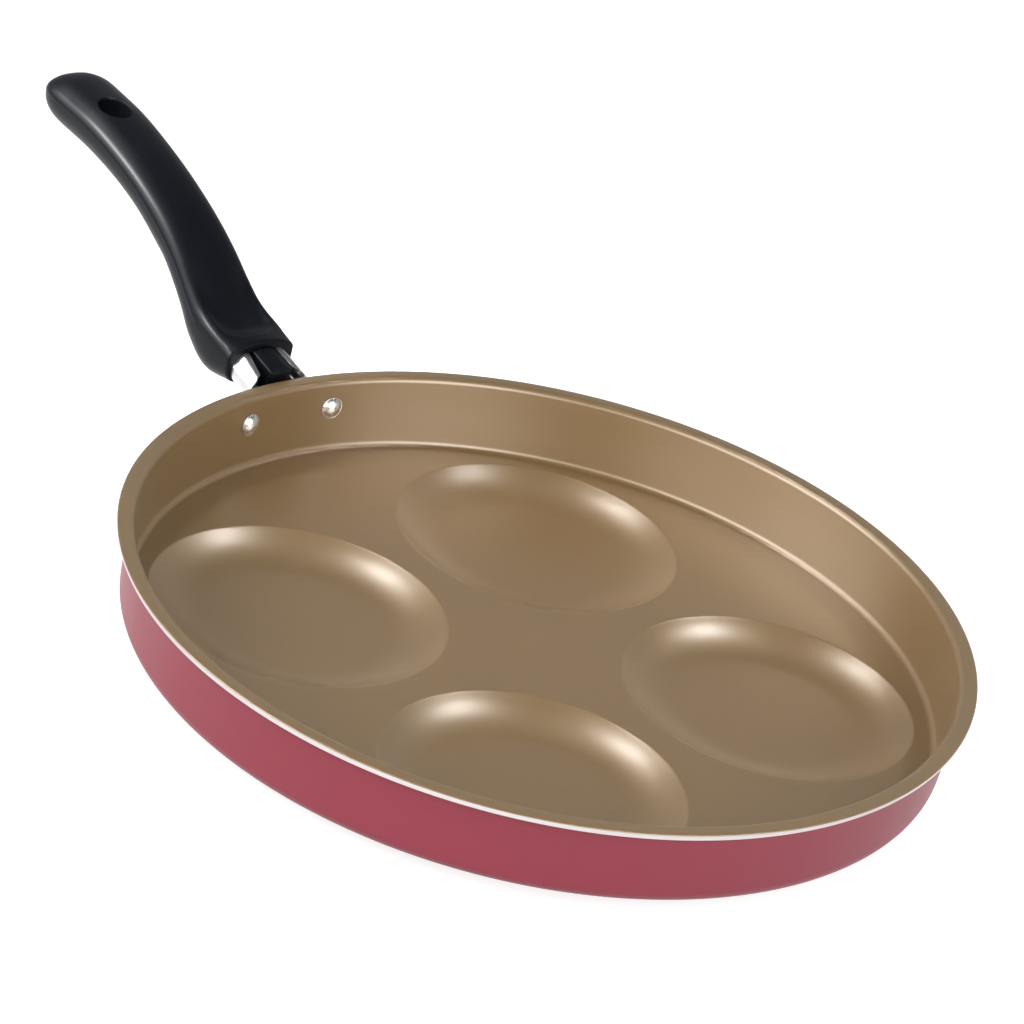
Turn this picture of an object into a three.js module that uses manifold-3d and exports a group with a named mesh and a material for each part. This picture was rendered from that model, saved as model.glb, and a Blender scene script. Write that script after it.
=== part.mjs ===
// Four-cup egg pan with a riveted bracket and a moulded grip.
// Millimetres, +Z up, handle along +X, standing on the flat bottoms of its four cups.

import * as THREE from 'three';
import { mergeVertices } from 'three/addons/utils/BufferGeometryUtils.js';
import Module from 'manifold-3d';

const wasm = await Module();
wasm.setup();

// Pan: pressed aluminium sheet with its rim turned outwards
const rimRadius = 130;
const rimOverhang = 3.4; // how far the rim stands out past the wall
const rimThickness = 2.1;
const rimDraft = 0.5; // radius lost from the rim's top edge to its underside
const rimOuterRound = 0.4;
const rimInnerRound = 1.3;
const wallThickness = 2;
const wallDraft = 1.1; // radius lost from the rim down to the floor
const panDepth = 24; // rim top to floor
const baseThickness = 2.8;
const cornerRadius = 2.2; // inside, between wall and floor

// Cups: round dishes pressed through the floor
const cupCount = 4;
const cupTurn = 47.5; // degrees from the handle to the first cup
const cupDepth = 6;
const cupBlendRadius = 31; // curve from the cup's flat bottom up to the floor
const cupMargin = 4.2; // floor left between a cup and the corner radius
const cupWeb = 10.8; // floor left between neighbouring cups

// Bracket: stainless channel with in-turned lips, on a saddle that fits the pan wall
const bracketSheet = 1.5;
const neckLength = 13; // rim edge to the mouth of the grip
const neckRise = 0.3; // mouth centre above the rim
const neckAngle = 14; // degrees above level
const channelWidth = 23.2;
const channelDepth = 5.6; // floor of the channel to its shoulders
const channelCorner = 3; // under the channel
const lipAngle = 35; // degrees, how steeply the lips rise from the shoulders
const channelSlot = 13.6; // gap between the lips
const lipSetback = 4; // end of the lips to the rim edge
const lipRound = 3;
const socketDepth = 22; // how far the channel runs into the grip
const saddleWidth = 47;
const saddleHeight = 13;
const saddleCorner = 4;
const saddleDrop = 4.2; // rim top to the top of the saddle

// Rivets: domed heads inside the pan
const rivetEdge = 6.75; // rivet's axis to the end of the saddle
const rivetDrop = 9.1; // rim top to the rivet's axis
const rivetShank = 2.4; // radius
const rivetHead = 3.7; // radius
const rivetHeadHeight = 2.1;
const rivetTail = 3.5; // radius
const rivetTailHeight = 1.4;

// Grip: black moulded phenolic
const mouthWall = 1.5; // grip left around the channel
const noseWidth = 9.6; // tongue of the grip that lies in the channel
const noseReach = 8; // how far the nose stands out of the mouth
const noseSink = 0.4; // top of the nose below the lips
const tipLength = 14.6;
const tipBluntness = 2.25; // exponent of the tip's outline, 2 is an ellipse
const tipFlatShare = 0.055; // share of the tip's quarter turn that is left as its end face
const widestShare = 0.3; // widest line of the section, from its top
const topSquareness = [3.4, 2.5]; // exponent of the section's upper half, at the mouth and at the tip
const undersideSquareness = [4, 2.1]; // the same of its lower half
const squareFade = 2; // how soon along the grip the tip's exponents are reached
const hangingHole = 5.6; // radius
const hangingHoleFlare = 1.3; // the hole's rim is this much wider
const hangingHoleInset = 29.5; // grip tip to the hole's axis
const hollowLength = 18; // thumb hollow on top of the grip
const hollowWidth = 17;
const hollowDepth = 1.4;
const hollowSetback = 2.5; // mouth to the hollow's front edge
const hollowRoundness = 3; // half height of the hollow's ellipsoid, in hollow depths

const gripLength = 105; // mouth to the last station before the tip
const gripWidth = 27.6; // at its widest, behind the mouth

// Stations of the grip: top and bottom of the section as [along, up] from the mouth, in grip lengths,
// and half width in grip widths
const gripStations = [
  { top: [0.076, 0.086], bottom: [0.119, -0.076], half: 0.5 },
  { top: [0.157, 0.114], bottom: [0.21, -0.031], half: 0.489 },
  { top: [0.224, 0.161], bottom: [0.29, 0.044], half: 0.467 },
  { top: [0.305, 0.228], bottom: [0.39, 0.117], half: 0.446 },
  { top: [0.405, 0.292], bottom: [0.481, 0.164], half: 0.431 },
  { top: [0.538, 0.356], bottom: [0.595, 0.221], half: 0.417 },
  { top: [0.681, 0.408], bottom: [0.724, 0.264], half: 0.417 },
  { top: [0.843, 0.45], bottom: [0.871, 0.295], half: 0.428 },
  { top: [0.995, 0.472], bottom: [1.005, 0.31], half: 0.438 },
];

// Screw, washer and insert that hold the grip on the channel
const screwPlace = 11; // mouth to the screw's axis
const screwShank = 2; // radius
const screwHead = 3.6; // radius
const screwHeadHeight = 2;
const screwHeadChamfer = 0.9;
const screwSlot = 1; // width of the driver slot
const screwSlotDepth = 0.9;
const washerRadius = 4;
const washerThickness = 0.8;
const seatWall = 2.2; // grip between the channel and the washer
const boreReach = 11; // the screw's bore is cut this far below its seat
const insertRadius = 3.2;
const insertLength = 5.6;

// Clearances
const fitClearance = 0.3;
const cutMargin = 2; // cutters reach this far past what they cut

// Facets
const panSegments = 72;
const cupSegments = 40;
const smallSegments = 20;
const sectionPoints = 28;
const ringsPerStation = 3;
const tipRings = 5;
const bendSteps = 5; // steps round a bend of the sheet
const edgeSteps = 2; // steps round a small edge
const searchSteps = 400; // places tried along the grip
const weldDistance = 1e-4;

// Heights and radii that follow from the sizes above
const floorZ = cupDepth + baseThickness;
const rimZ = floorZ + panDepth;
const innerTop = rimRadius - rimOverhang - wallThickness;
const innerRadiusAt = (z) => innerTop - (wallDraft * (rimZ - z)) / panDepth;
const outerRadiusAt = (z) => innerRadiusAt(z) + wallThickness;
const floorRadius = innerRadiusAt(floorZ) - cornerRadius;
const cupPitch = 2 * Math.sin(Math.PI / cupCount);
const cupRadius = ((floorRadius - cupMargin) * cupPitch - cupWeb) / (2 + cupPitch);
const cupRing = floorRadius - cupMargin - cupRadius;
const cupFlat = cupRadius - Math.sqrt(cupBlendRadius ** 2 - (cupBlendRadius - cupDepth) ** 2);
const wallSlope = Math.atan(wallDraft / panDepth);
const saddleRadiusAt = (z) => outerRadiusAt(z) + fitClearance;
const lipSlope = Math.tan(THREE.MathUtils.degToRad(lipAngle));
const channelHeight = channelDepth + ((channelWidth - channelSlot) / 2) * lipSlope;
const shoulderV = channelDepth - channelHeight / 2;
const mouth = new THREE.Vector3(rimRadius + neckLength, 0, rimZ + neckRise);
const neckTilt = THREE.MathUtils.degToRad(neckAngle);
const neckRoot = -neckLength - rimOverhang - wallThickness - cutMargin;
const noseBottom = -channelHeight / 2 + bracketSheet + fitClearance;
const screwSeat = -channelHeight / 2 - fitClearance - seatWall;
const rivetZ = rimZ - rivetDrop;
const rivetSeat = innerRadiusAt(rivetZ) * Math.cos(Math.PI / panSegments); // facets lie inside the radius
const rivetAngle = Math.asin((saddleWidth / 2 - rivetEdge) / rivetSeat);

const black = { color: 0x14171b, roughness: 0.42, metalness: 0 };
const steel = { color: 0xc9cbcd, roughness: 0.18, metalness: 1 };
const finishes = {
  pan_body: { color: 0x9b8361, roughness: 0.4, metalness: 0.35 },
  handle_bracket: steel,
  rivet: { color: 0xd6d6d4, roughness: 0.3, metalness: 1 },
  handle_grip: black,
  handle_screw: { color: 0xb4b6b8, roughness: 0.3, metalness: 1 },
  screw_washer: { color: 0xa9abad, roughness: 0.35, metalness: 1 },
  screw_insert: { color: 0xb08d4a, roughness: 0.35, metalness: 1 },
};

// Turns a closed geometry into a solid that can be joined and cut
function solidOf(geometry) {
  const bare = geometry.index ? geometry.toNonIndexed() : geometry.clone();
  bare.deleteAttribute('normal');
  bare.deleteAttribute('uv');
  const merged = mergeVertices(bare, weldDistance);
  const mesh = new wasm.Mesh({
    numProp: 3,
    vertProperties: merged.attributes.position.array,
    triVerts: new Uint32Array(merged.index.array),
  });
  return new wasm.Manifold(mesh);
}

function geometryOf(solid) {
  const mesh = solid.getMesh();
  const geometry = new THREE.BufferGeometry();
  geometry.setAttribute('position', new THREE.BufferAttribute(mesh.vertProperties, 3));
  geometry.setIndex(new THREE.BufferAttribute(mesh.triVerts, 1));
  geometry.computeVertexNormals();
  return geometry;
}

function makePart(name, geometry, finish) {
  const part = new THREE.Mesh(geometry, new THREE.MeshStandardMaterial(finish));
  part.name = name;
  return part;
}

// Points on an arc in a profile, angles in degrees from the outward direction
function arcPoints(centre, radius, from, to, steps) {
  return Array.from({ length: steps + 1 }, (_, i) => {
    const angle = THREE.MathUtils.degToRad(from + ((to - from) * i) / steps);
    return [centre[0] + radius * Math.cos(angle), centre[1] + radius * Math.sin(angle)];
  });
}

// A turned shape about Z, its profile running from the bottom of the axis round to the top
function turned(profile, segments) {
  const points = profile.map(([r, z]) => new THREE.Vector2(Math.max(r, 0), z));
  return new THREE.LatheGeometry(points, segments).rotateX(Math.PI / 2);
}

const rod = (radius, from, to) => turned([[0, from], [radius, from], [radius, to], [0, to]], smallSegments);

const tube = (inner, outer, from, to) =>
  turned([[inner, from], [outer, from], [outer, to], [inner, to], [inner, from]], smallSegments);

function roundedRectangle(width, height, radius) {
  const shape = new THREE.Shape();
  const x = width / 2 - radius;
  const y = height / 2 - radius;
  shape.absarc(x, y, radius, 0, Math.PI / 2);
  shape.absarc(-x, y, radius, Math.PI / 2, Math.PI);
  shape.absarc(-x, -y, radius, Math.PI, 1.5 * Math.PI);
  shape.absarc(x, -y, radius, 1.5 * Math.PI, 2 * Math.PI);
  shape.closePath();
  return shape;
}

// The channel's outside moved inwards by an inset: floor, side walls to the shoulders, and sloping lips
function channelSection(inset) {
  const half = channelWidth / 2 - inset;
  const floor = -channelHeight / 2 + inset;
  const crown = channelHeight / 2 - inset;
  const shoulder = shoulderV - inset * Math.tan(THREE.MathUtils.degToRad((90 - lipAngle) / 2));
  const crownHalf = half - (crown - shoulder) / lipSlope;
  const radius = channelCorner - inset;
  const shape = new THREE.Shape();
  shape.absarc(half - radius, floor + radius, radius, -Math.PI / 2, 0);
  shape.lineTo(half, shoulder);
  shape.lineTo(crownHalf, crown);
  shape.lineTo(-crownHalf, crown);
  shape.lineTo(-half, shoulder);
  shape.absarc(-half + radius, floor + radius, radius, Math.PI, 1.5 * Math.PI);
  shape.closePath();
  return shape;
}

const extruded = (shape, depth) =>
  new THREE.ExtrudeGeometry(shape, { depth, bevelEnabled: false, curveSegments: bendSteps });

// Lays a section drawn across the handle so that its depth runs along +X from the given place
function alongHandle(shape, start, end) {
  const basis = new THREE.Matrix4().makeBasis(
    new THREE.Vector3(0, 1, 0),
    new THREE.Vector3(0, 0, 1),
    new THREE.Vector3(1, 0, 0),
  );
  return extruded(shape, end - start).applyMatrix4(basis).translate(start, 0, 0);
}

// The neck's own frame: along the channel, across it, and up through its slot, from the mouth's centre
const neckMatrix = new THREE.Matrix4()
  .makeTranslation(mouth.x, mouth.y, mouth.z)
  .multiply(new THREE.Matrix4().makeRotationY(-neckTilt));
const inNeck = (geometry) => geometry.applyMatrix4(neckMatrix);

// A rivet's own frame on the pan wall: z runs outwards through wall and saddle
function rivetMatrix(side) {
  return new THREE.Matrix4()
    .makeRotationZ(side * rivetAngle)
    .multiply(new THREE.Matrix4().makeTranslation(rivetSeat, 0, rivetZ))
    .multiply(new THREE.Matrix4().makeRotationY(Math.PI / 2 + wallSlope));
}

// Rivet hole through wall and saddle, as a cutter
function rivetCutter(side) {
  const reach = wallThickness + fitClearance + bracketSheet + cutMargin;
  return rod(rivetShank + fitClearance, -cutMargin, reach).applyMatrix4(rivetMatrix(side));
}

function makePan() {
  const outerCorner = cornerRadius + baseThickness;
  const outerFoot = outerRadiusAt(cupDepth + outerCorner);
  const innerFoot = innerRadiusAt(floorZ + cornerRadius);
  const rimUnder = rimZ - rimThickness;
  const shell = [
    [0, cupDepth],
    ...arcPoints([outerFoot - outerCorner, cupDepth + outerCorner], outerCorner, -90, 0, bendSteps),
    [outerRadiusAt(rimUnder), rimUnder],
    [rimRadius - rimDraft, rimUnder],
    ...arcPoints([rimRadius - rimOuterRound, rimZ - rimOuterRound], rimOuterRound, 0, 90, edgeSteps),
    ...arcPoints([innerTop + rimInnerRound, rimZ - rimInnerRound], rimInnerRound, 90, 180, edgeSteps),
    ...arcPoints([innerFoot - cornerRadius, floorZ + cornerRadius], cornerRadius, 0, -90, bendSteps),
    [0, floorZ],
  ];
  const blendZ = baseThickness + cupBlendRadius;
  const insideEnd = THREE.MathUtils.radToDeg(Math.asin((cupBlendRadius - cupDepth) / cupBlendRadius));
  const outsideRadius = cupBlendRadius + baseThickness;
  const outsideEnd = THREE.MathUtils.radToDeg(Math.asin((blendZ - cupDepth) / outsideRadius));
  const overlap = baseThickness / 2;
  const outsideCurve = arcPoints([cupFlat, blendZ], outsideRadius, -90, -outsideEnd, bendSteps);
  const outside = [
    [0, 0],
    ...outsideCurve,
    [outsideCurve.at(-1)[0], cupDepth + overlap],
    [0, cupDepth + overlap],
  ];
  const inside = [
    [0, baseThickness],
    ...arcPoints([cupFlat, blendZ], cupBlendRadius, -90, -insideEnd, bendSteps),
    [cupRadius, floorZ + cutMargin],
    [0, floorZ + cutMargin],
  ];
  let pan = solidOf(turned(shell, panSegments));
  const places = Array.from({ length: cupCount }, (_, i) => {
    const angle = THREE.MathUtils.degToRad(cupTurn + (360 / cupCount) * i);
    return [cupRing * Math.cos(angle), cupRing * Math.sin(angle)];
  });
  for (const [x, y] of places) {
    pan = pan.add(solidOf(turned(outside, cupSegments).translate(x, y, 0)));
  }
  for (const [x, y] of places) {
    pan = pan.subtract(solidOf(turned(inside, cupSegments).translate(x, y, 0)));
  }
  for (const side of [1, -1]) {
    pan = pan.subtract(solidOf(rivetCutter(side)));
  }
  return makePart('pan_body', geometryOf(pan), finishes.pan_body);
}

// The slot between the lips in plan, widening to the full channel near the rim
function lipCutter() {
  const lipEnd = lipSetback - neckLength;
  const wide = channelWidth / 2 + cutMargin;
  const half = channelSlot / 2;
  const far = socketDepth + cutMargin;
  const near = neckRoot;
  const shape = new THREE.Shape();
  shape.moveTo(far, -half);
  shape.lineTo(far, half);
  shape.lineTo(lipEnd + lipRound, half);
  shape.absarc(lipEnd + lipRound, half + lipRound, lipRound, 1.5 * Math.PI, Math.PI, true);
  shape.lineTo(lipEnd, wide);
  shape.lineTo(near, wide);
  shape.lineTo(near, -wide);
  shape.lineTo(lipEnd, -wide);
  shape.lineTo(lipEnd, -half - lipRound);
  shape.absarc(lipEnd + lipRound, -half - lipRound, lipRound, Math.PI, 0.5 * Math.PI, true);
  shape.closePath();
  return extruded(shape, channelHeight).translate(0, 0, shoulderV);
}

function makeBracket() {
  const hollow = channelSection(bracketSheet);
  const channel = solidOf(inNeck(alongHandle(channelSection(0), neckRoot, socketDepth)))
    .subtract(solidOf(inNeck(alongHandle(hollow, neckRoot - cutMargin, socketDepth + cutMargin))))
    .subtract(solidOf(inNeck(lipCutter())));

  // The saddle: a ring that hugs the wall, trimmed to a plate with round corners
  const saddleZ = rimZ - saddleDrop - saddleHeight / 2;
  const low = saddleZ - saddleHeight / 2 - cutMargin;
  const high = saddleZ + saddleHeight / 2 + cutMargin;
  const ring = [
    [saddleRadiusAt(low), low],
    [saddleRadiusAt(low) + bracketSheet, low],
    [saddleRadiusAt(high) + bracketSheet, high],
    [saddleRadiusAt(high), high],
    [saddleRadiusAt(low), low],
  ];
  const plate = roundedRectangle(saddleWidth, saddleHeight, saddleCorner);
  const saddle = solidOf(turned(ring, panSegments))
    .intersect(solidOf(alongHandle(plate, 0, rimRadius).translate(0, 0, saddleZ)));

  // Room for the wall, for the rim, and for the rivets and the screw
  const wallRoom = [
    [0, 0],
    [saddleRadiusAt(0), 0],
    [saddleRadiusAt(rimZ), rimZ],
    [0, rimZ],
  ];
  const rimUnder = rimZ - rimThickness - fitClearance;
  const rimRoom = [
    [0, rimUnder],
    [rimRadius + fitClearance, rimUnder],
    [rimRadius + fitClearance, rimZ + channelHeight],
    [0, rimZ + channelHeight],
  ];
  const screwRoom = rod(screwShank + fitClearance, -channelHeight, 0).translate(screwPlace, 0, 0);
  let bracket = channel
    .subtract(solidOf(turned(wallRoom, panSegments)))
    .add(saddle)
    .subtract(solidOf(turned(rimRoom, panSegments)))
    .subtract(solidOf(inNeck(screwRoom)));
  for (const side of [1, -1]) {
    bracket = bracket.subtract(solidOf(rivetCutter(side)));
  }
  return makePart('handle_bracket', geometryOf(bracket), finishes.handle_bracket);
}

function makeRivet(name, side) {
  const tailSeat = wallThickness + fitClearance + bracketSheet + fitClearance;
  const sphere = (rivetHead ** 2 + rivetHeadHeight ** 2) / (2 * rivetHeadHeight);
  const rise = THREE.MathUtils.radToDeg(Math.acos(rivetHead / sphere));
  const domeCentre = -fitClearance - rivetHeadHeight + sphere;
  const profile = [
    ...arcPoints([0, domeCentre], sphere, -90, -rise, bendSteps),
    [rivetShank, -fitClearance],
    [rivetShank, tailSeat],
    [rivetTail, tailSeat],
    [rivetTail, tailSeat + rivetTailHeight / 2],
    [rivetTail - rivetTailHeight / 2, tailSeat + rivetTailHeight],
    [0, tailSeat + rivetTailHeight],
  ];
  const rivet = makePart(name, turned(profile, smallSegments), finishes.rivet);
  rivet.applyMatrix4(rivetMatrix(side));
  return rivet;
}

// One ring of the grip: a superellipse whose upper and lower halves have their own heights and exponents
function gripRing(top, bottom, half, share) {
  const up = new THREE.Vector3().subVectors(top, bottom);
  const height = up.length();
  up.normalize();
  const middle = new THREE.Vector3().lerpVectors(top, bottom, widestShare);
  return Array.from({ length: sectionPoints }, (_, i) => {
    const angle = (2 * Math.PI * i) / sectionPoints;
    const c = Math.cos(angle);
    const s = Math.sin(angle);
    const depth = height * (s > 0 ? widestShare : 1 - widestShare);
    const power = 2 / THREE.MathUtils.lerp(...(s > 0 ? topSquareness : undersideSquareness), share);
    const across = half * Math.sign(c) * Math.abs(c) ** power;
    const rise = depth * Math.sign(s) * Math.abs(s) ** power;
    return middle.clone().addScaledVector(up, rise).add(new THREE.Vector3(0, across, 0));
  });
}

// Closes a row of rings into a solid, with a fan at each end
function lofted(rings) {
  const count = rings[0].length;
  const positions = [];
  const faces = [];
  for (const point of rings.flat()) {
    positions.push(point.x, point.y, point.z);
  }
  for (let k = 0; k + 1 < rings.length; k += 1) {
    for (let i = 0; i < count; i += 1) {
      const j = (i + 1) % count;
      const near = k * count;
      const far = near + count;
      faces.push(near + i, near + j, far + j, near + i, far + j, far + i);
    }
  }
  for (const [ring, turn] of [[0, -1], [rings.length - 1, 1]]) {
    const centre = new THREE.Vector3();
    rings[ring].forEach((point) => centre.addScaledVector(point, 1 / count));
    const hub = positions.length / 3;
    positions.push(centre.x, centre.y, centre.z);
    for (let i = 0; i < count; i += 1) {
      const a = ring * count + i;
      const b = ring * count + ((i + 1) % count);
      faces.push(hub, turn > 0 ? a : b, turn > 0 ? b : a);
    }
  }
  const geometry = new THREE.BufferGeometry();
  geometry.setAttribute('position', new THREE.Float32BufferAttribute(positions, 3));
  geometry.setIndex(faces);
  return geometry;
}

// Top and bottom lines of the grip, whose y holds the half width. The mouth is upright.
function gripLines() {
  const mouthHalf = (channelHeight / 2 + fitClearance + mouthWall) / Math.cos(neckTilt);
  const mouthSide = channelWidth / 2 + fitClearance + mouthWall;
  const line = (edge, mouthUp) => {
    const rest = gripStations.map((station) => {
      const [along, up] = station[edge];
      return new THREE.Vector3(along * gripLength, station.half * gripWidth, up * gripLength);
    });
    const points = [new THREE.Vector3(0, mouthSide, mouthUp), ...rest];
    return new THREE.CatmullRomCurve3(points.map((point) => point.add(mouth)));
  };
  return { top: line('top', mouthHalf), bottom: line('bottom', -mouthHalf) };
}

const flat = (point) => new THREE.Vector3(point.x, 0, point.z);

function gripBlank(lines) {
  const rings = [];
  const steps = gripStations.length * ringsPerStation;
  for (let k = 0; k <= steps; k += 1) {
    const t = k / steps;
    const top = lines.top.getPoint(t);
    const bottom = lines.bottom.getPoint(t);
    rings.push(gripRing(flat(top), flat(bottom), top.y, Math.min(1, squareFade * t)));
  }
  // The blunt tip carries on along the last direction
  const last = rings.at(-1);
  const centre = flat(lines.top.getPoint(1)).lerp(flat(lines.bottom.getPoint(1)), 1 / 2);
  const onward = flat(lines.top.getTangent(1)).add(flat(lines.bottom.getTangent(1))).normalize();
  for (let k = 1; k <= tipRings; k += 1) {
    const angle = ((Math.PI / 2) * (1 - tipFlatShare) * k) / tipRings;
    const shift = tipLength * Math.sin(angle) ** (2 / tipBluntness);
    const shrink = Math.cos(angle) ** (2 / tipBluntness);
    rings.push(last.map((point) => centre.clone().lerp(point, shrink).addScaledVector(onward, shift)));
  }
  return lofted(rings);
}

function makeGrip() {
  const lines = gripLines();
  const socket = channelSection(-fitClearance);
  const mouthLean = channelHeight * Math.tan(neckTilt); // the neck's frame leans on the upright mouth
  const noseFront = -noseReach + noseWidth / 2;
  const nosePlan = new THREE.Shape();
  nosePlan.moveTo(socketDepth + cutMargin, -noseWidth / 2);
  nosePlan.lineTo(socketDepth + cutMargin, noseWidth / 2);
  nosePlan.lineTo(noseFront, noseWidth / 2);
  nosePlan.absarc(noseFront, 0, noseWidth / 2, Math.PI / 2, 1.5 * Math.PI);
  nosePlan.closePath();
  const nose = extruded(nosePlan, channelHeight / 2 - noseSink - noseBottom).translate(0, 0, noseBottom);

  const post = (radius, from, to) => solidOf(inNeck(rod(radius, from, to).translate(screwPlace, 0, 0)));
  const below = screwSeat - boreReach;
  const insertTop = noseBottom + insertLength + fitClearance;

  // The hanging hole runs straight through the section near the tip
  const last = lines.top.points.at(-1);
  const lastBelow = lines.bottom.points.at(-1);
  const share = nearestShare(lines, (last.x + lastBelow.x) / 2 + tipLength - hangingHoleInset);
  const holeTop = flat(lines.top.getPoint(share));
  const holeBottom = flat(lines.bottom.getPoint(share));
  const holeUp = new THREE.Vector3().subVectors(holeTop, holeBottom);
  const thickness = holeUp.length();
  const holeMatrix = new THREE.Matrix4()
    .makeTranslation(holeTop.x, 0, holeTop.z)
    .multiply(new THREE.Matrix4().makeRotationY(Math.atan2(holeUp.x, holeUp.z)));
  const holeProfile = [
    [0, -thickness - cutMargin],
    [hangingHole + hangingHoleFlare + cutMargin, -thickness - cutMargin],
    [hangingHole, -thickness + hangingHoleFlare],
    [hangingHole, -hangingHoleFlare],
    [hangingHole + hangingHoleFlare + cutMargin, cutMargin],
    [0, cutMargin],
  ];
  const hole = turned(holeProfile, smallSegments).applyMatrix4(holeMatrix);

  // The thumb hollow is the bottom of a long ellipsoid
  const hollowShare = nearestShare(lines, mouth.x + hollowSetback + hollowLength / 2);
  const hollowTop = flat(lines.top.getPoint(hollowShare));
  const hollowSlope = flat(lines.top.getTangent(hollowShare));
  const hollowRadius = hollowRoundness * hollowDepth;
  const spread = Math.sqrt(1 - ((hollowRadius - hollowDepth) / hollowRadius) ** 2);
  const hollow = new THREE.SphereGeometry(1, smallSegments, smallSegments / 2)
    .scale(hollowLength / 2 / spread, hollowWidth / 2 / spread, hollowRadius)
    .translate(0, 0, hollowRadius - hollowDepth)
    .applyMatrix4(
      new THREE.Matrix4()
        .makeTranslation(hollowTop.x, 0, hollowTop.z)
        .multiply(new THREE.Matrix4().makeRotationY(-Math.atan2(hollowSlope.z, hollowSlope.x))),
    );

  const grip = solidOf(gripBlank(lines))
    .subtract(solidOf(inNeck(alongHandle(socket, -mouthLean - cutMargin, socketDepth + fitClearance))))
    .add(solidOf(inNeck(nose)))
    .subtract(post(screwShank + fitClearance, below, insertTop))
    .subtract(post(washerRadius + fitClearance, below, screwSeat))
    .subtract(post(insertRadius + fitClearance, noseBottom - cutMargin, insertTop))
    .subtract(solidOf(hole))
    .subtract(solidOf(hollow));
  return makePart('handle_grip', geometryOf(grip), finishes.handle_grip);
}

// Share of the grip's lines at which the section's middle has the given x
function nearestShare(lines, x) {
  let best = 0;
  let least = Infinity;
  for (let i = 0; i <= searchSteps; i += 1) {
    const t = i / searchSteps;
    const middle = (lines.top.getPoint(t).x + lines.bottom.getPoint(t).x) / 2;
    if (Math.abs(middle - x) < least) {
      least = Math.abs(middle - x);
      best = t;
    }
  }
  return best;
}

// The screw, its washer and its insert stand in the neck's frame, under the channel
function makeFastening() {
  const neck = new THREE.Group();
  neck.position.copy(mouth);
  neck.rotation.y = -neckTilt;
  const washerTop = screwSeat - fitClearance;
  const washerBottom = washerTop - washerThickness;
  const headTop = washerBottom - fitClearance;
  const headBottom = headTop - screwHeadHeight;
  const screwEnd = noseBottom + insertLength;
  const screwProfile = [
    [0, headBottom],
    [screwHead - screwHeadChamfer, headBottom],
    [screwHead, headBottom + screwHeadChamfer],
    [screwHead, headTop],
    [screwShank, headTop],
    [screwShank, screwEnd - screwShank / 2],
    [screwShank / 2, screwEnd],
    [0, screwEnd],
  ];
  const slot = new THREE.BoxGeometry(2 * screwHead + cutMargin, screwSlot, 2 * screwSlotDepth)
    .translate(0, 0, headBottom);
  const screwSolid = solidOf(turned(screwProfile, smallSegments)).subtract(solidOf(slot));
  const bore = screwShank + fitClearance;
  const screw = makePart('handle_screw', geometryOf(screwSolid), finishes.handle_screw);
  const washerRing = tube(bore, washerRadius, washerBottom, washerTop);
  const washer = makePart('screw_washer', washerRing, finishes.screw_washer);
  const insertRing = tube(bore, insertRadius, noseBottom, screwEnd);
  const insert = makePart('screw_insert', insertRing, finishes.screw_insert);
  for (const piece of [screw, washer, insert]) {
    piece.position.x = screwPlace;
    neck.add(piece);
  }
  return neck;
}

const pan = new THREE.Group();
pan.add(
  makePan(),
  makeBracket(),
  makeRivet('rivet_left', 1),
  makeRivet('rivet_right', -1),
  makeGrip(),
  makeFastening(),
);

// The origin lies under the middle of the whole length
const extent = new THREE.Box3().setFromObject(pan);
pan.position.x = -(extent.min.x + extent.max.x) / 2;

const eggPan = new THREE.Group();
eggPan.add(pan);

export default eggPan;
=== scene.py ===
import math

import bmesh
import bpy
from mathutils import Matrix, Vector


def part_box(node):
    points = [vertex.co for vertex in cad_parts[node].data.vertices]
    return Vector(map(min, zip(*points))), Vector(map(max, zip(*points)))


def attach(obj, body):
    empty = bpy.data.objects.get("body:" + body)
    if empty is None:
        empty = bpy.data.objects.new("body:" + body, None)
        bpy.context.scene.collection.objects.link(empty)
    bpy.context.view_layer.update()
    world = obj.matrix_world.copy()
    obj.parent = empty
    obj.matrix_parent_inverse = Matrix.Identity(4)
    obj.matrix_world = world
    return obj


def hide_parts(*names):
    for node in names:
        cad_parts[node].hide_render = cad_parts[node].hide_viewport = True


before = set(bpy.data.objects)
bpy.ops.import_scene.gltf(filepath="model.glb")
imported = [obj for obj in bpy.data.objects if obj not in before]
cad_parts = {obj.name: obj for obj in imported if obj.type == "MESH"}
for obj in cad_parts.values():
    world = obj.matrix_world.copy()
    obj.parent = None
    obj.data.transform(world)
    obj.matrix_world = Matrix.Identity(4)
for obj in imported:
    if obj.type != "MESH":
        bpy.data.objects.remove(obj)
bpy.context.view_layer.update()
print("frame loaded:", len(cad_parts), "nodes")

# Pieces are drawn in millimetres about the pan's axis, then moved to the frame
mm = 0.001
panLow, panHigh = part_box("pan_body")
toFrame = Matrix.Translation(((panLow.x + panHigh.x) / 2, 0, 0)) @ Matrix.Scale(mm, 4)
rimRadius = (panHigh.y - panLow.y) / 2 / mm
rimHeight = panHigh.z / mm
onAxis = 1e-6      # a smaller radius is a point on the axis


def spread(start, end, steps):
    return [start + (end - start) * i / steps for i in range(steps + 1)]


def between(ends, share):
    return ends[0] + (ends[1] - ends[0]) * share


def clamp(value):
    return min(max(value, 0.0), 1.0)


def sineCosine(degrees):
    return math.sin(math.radians(degrees)), math.cos(math.radians(degrees))


def arc(centre, radius, start, end, steps):
    turn = [math.radians(a) for a in spread(start, end, steps)]
    return [(centre[0] + radius * math.cos(a), centre[1] + radius * math.sin(a)) for a in turn]


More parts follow.
